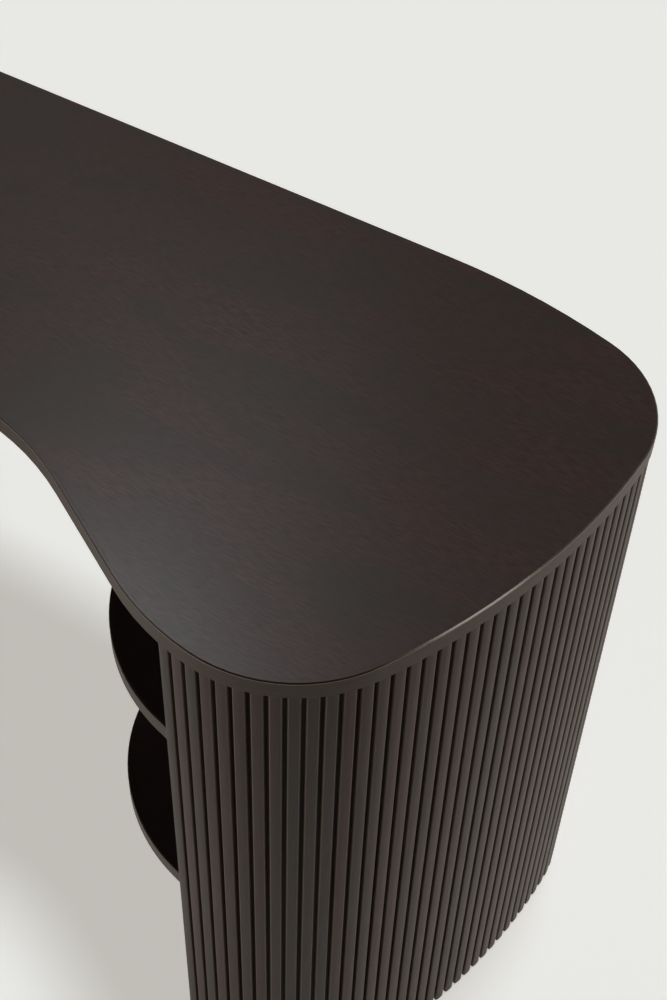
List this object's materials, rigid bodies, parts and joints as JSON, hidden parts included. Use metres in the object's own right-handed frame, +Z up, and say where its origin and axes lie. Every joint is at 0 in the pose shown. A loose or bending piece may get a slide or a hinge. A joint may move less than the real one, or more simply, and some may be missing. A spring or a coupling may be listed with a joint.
{
  "type": "tambour desk",
  "caption": "Kidney-shaped desk top on two curved pedestals clad with upright slats, with open shelves towards the kneehole and levelling feet.",
  "frame": {"origin": "on the floor, midway along the desk and midway between its back edge and the front of its lobes", "axes": "+X to the right of a person at the desk, +Y from that person to the back edge, +Z up"},
  "size_m": [1.398, 0.548, 0.76],
  "materials": {
    "stained_veneer": "satin",
    "stained_timber": "satin",
    "stained_slat": "satin",
    "stained_plywood": "matt",
    "former_plywood": "matt",
    "rail_timber": "matt",
    "beech_dowel": "matt",
    "zinc_steel": "zinc plated",
    "nylon_pad": "matt"
  },
  "bodies": {
    "desk": {"desk_top": "stained_veneer", "desk_top_lipping": "stained_timber", "back_rail": "rail_timber", "back_rail_screws": "zinc_steel", "back_rail_dowels": "beech_dowel", "right_top_former": "former_plywood", "right_bottom_former": "former_plywood", "right_upper_shelf": "stained_veneer", "right_upper_shelf_lipping": "stained_timber", "right_lower_shelf": "stained_veneer", "right_lower_shelf_lipping": "stained_timber", "right_wall_skin": "stained_plywood", "right_wall_end_lippings": "stained_timber", "right_slats": "stained_slat", "right_skin_screws": "zinc_steel", "right_top_screws": "zinc_steel", "right_foot_inserts": "zinc_steel", "left_top_former": "former_plywood", "left_bottom_former": "former_plywood", "left_upper_shelf": "stained_veneer", "left_upper_shelf_lipping": "stained_timber", "left_lower_shelf": "stained_veneer", "left_lower_shelf_lipping": "stained_timber", "left_wall_skin": "stained_plywood", "left_wall_end_lippings": "stained_timber", "left_slats": "stained_slat", "left_skin_screws": "zinc_steel", "left_top_screws": "zinc_steel", "left_foot_inserts": "zinc_steel"},
    "right_foot_pad_1": {"right_foot_pad_1": "nylon_pad"},
    "right_foot_stud_1": {"right_foot_stud_1": "zinc_steel"},
    "right_foot_pad_2": {"right_foot_pad_2": "nylon_pad"},
    "right_foot_stud_2": {"right_foot_stud_2": "zinc_steel"},
    "right_foot_pad_3": {"right_foot_pad_3": "nylon_pad"},
    "right_foot_stud_3": {"right_foot_stud_3": "zinc_steel"},
    "right_foot_pad_4": {"right_foot_pad_4": "nylon_pad"},
    "right_foot_stud_4": {"right_foot_stud_4": "zinc_steel"},
    "left_foot_pad_1": {"left_foot_pad_1": "nylon_pad"},
    "left_foot_stud_1": {"left_foot_stud_1": "zinc_steel"},
    "left_foot_pad_2": {"left_foot_pad_2": "nylon_pad"},
    "left_foot_stud_2": {"left_foot_stud_2": "zinc_steel"},
    "left_foot_pad_3": {"left_foot_pad_3": "nylon_pad"},
    "left_foot_stud_3": {"left_foot_stud_3": "zinc_steel"},
    "left_foot_pad_4": {"left_foot_pad_4": "nylon_pad"},
    "left_foot_stud_4": {"left_foot_stud_4": "zinc_steel"}
  },
  "joints": [
    {"name": "right_foot_1_travel", "type": "slide", "parent": "desk", "child": "right_foot_pad_1", "axis": [0, 0, -1], "range_m": [0, 0.01]},
    {"name": "right_foot_1_turn", "type": "hinge", "parent": "right_foot_pad_1", "child": "right_foot_stud_1", "pos_m": [0.48109, 0.22881, 0.012], "axis": [0, 0, -1], "range_deg": [0, 2880]},
    {"name": "right_foot_2_travel", "type": "slide", "parent": "desk", "child": "right_foot_pad_2", "axis": [0, 0, -1], "range_m": [0, 0.01]},
    {"name": "right_foot_2_turn", "type": "hinge", "parent": "right_foot_pad_2", "child": "right_foot_stud_2", "pos_m": [0.65363, 0.15007, 0.012], "axis": [0, 0, -1], "range_deg": [0, 2880]},
    {"name": "right_foot_3_travel", "type": "slide", "parent": "desk", "child": "right_foot_pad_3", "axis": [0, 0, -1], "range_m": [0, 0.01]},
    {"name": "right_foot_3_turn", "type": "hinge", "parent": "right_foot_pad_3", "child": "right_foot_stud_3", "pos_m": [0.61521, -0.10474, 0.012], "axis": [0, 0, -1], "range_deg": [0, 2880]},
    {"name": "right_foot_4_travel", "type": "slide", "parent": "desk", "child": "right_foot_pad_4", "axis": [0, 0, -1], "range_m": [0, 0.01]},
    {"name": "right_foot_4_turn", "type": "hinge", "parent": "right_foot_pad_4", "child": "right_foot_stud_4", "pos_m": [0.48648, -0.23134, 0.012], "axis": [0, 0, -1], "range_deg": [0, 2880]},
    {"name": "left_foot_1_travel", "type": "slide", "parent": "desk", "child": "left_foot_pad_1", "axis": [0, 0, -1], "range_m": [0, 0.01]},
    {"name": "left_foot_1_turn", "type": "hinge", "parent": "left_foot_pad_1", "child": "left_foot_stud_1", "pos_m": [-0.48109, 0.22881, 0.012], "axis": [0, 0, -1], "range_deg": [0, 2880]},
    {"name": "left_foot_2_travel", "type": "slide", "parent": "desk", "child": "left_foot_pad_2", "axis": [0, 0, -1], "range_m": [0, 0.01]},
    {"name": "left_foot_2_turn", "type": "hinge", "parent": "left_foot_pad_2", "child": "left_foot_stud_2", "pos_m": [-0.65363, 0.15007, 0.012], "axis": [0, 0, -1], "range_deg": [0, 2880]},
    {"name": "left_foot_3_travel", "type": "slide", "parent": "desk", "child": "left_foot_pad_3", "axis": [0, 0, -1], "range_m": [0, 0.01]},
    {"name": "left_foot_3_turn", "type": "hinge", "parent": "left_foot_pad_3", "child": "left_foot_stud_3", "pos_m": [-0.61521, -0.10474, 0.012], "axis": [0, 0, -1], "range_deg": [0, 2880]},
    {"name": "left_foot_4_travel", "type": "slide", "parent": "desk", "child": "left_foot_pad_4", "axis": [0, 0, -1], "range_m": [0, 0.01]},
    {"name": "left_foot_4_turn", "type": "hinge", "parent": "left_foot_pad_4", "child": "left_foot_stud_4", "pos_m": [-0.48648, -0.23134, 0.012], "axis": [0, 0, -1], "range_deg": [0, 2880]}
  ],
  "couplings": [
    {"joint": "right_foot_1_travel", "follows": "right_foot_1_turn", "m_per_rad": 0.00019894},
    {"joint": "right_foot_2_travel", "follows": "right_foot_2_turn", "m_per_rad": 0.00019894},
    {"joint": "right_foot_3_travel", "follows": "right_foot_3_turn", "m_per_rad": 0.00019894},
    {"joint": "right_foot_4_travel", "follows": "right_foot_4_turn", "m_per_rad": 0.00019894},
    {"joint": "left_foot_1_travel", "follows": "left_foot_1_turn", "m_per_rad": 0.00019894},
    {"joint": "left_foot_2_travel", "follows": "left_foot_2_turn", "m_per_rad": 0.00019894},
    {"joint": "left_foot_3_travel", "follows": "left_foot_3_turn", "m_per_rad": 0.00019894},
    {"joint": "left_foot_4_travel", "follows": "left_foot_4_turn", "m_per_rad": 0.00019894}
  ]
}
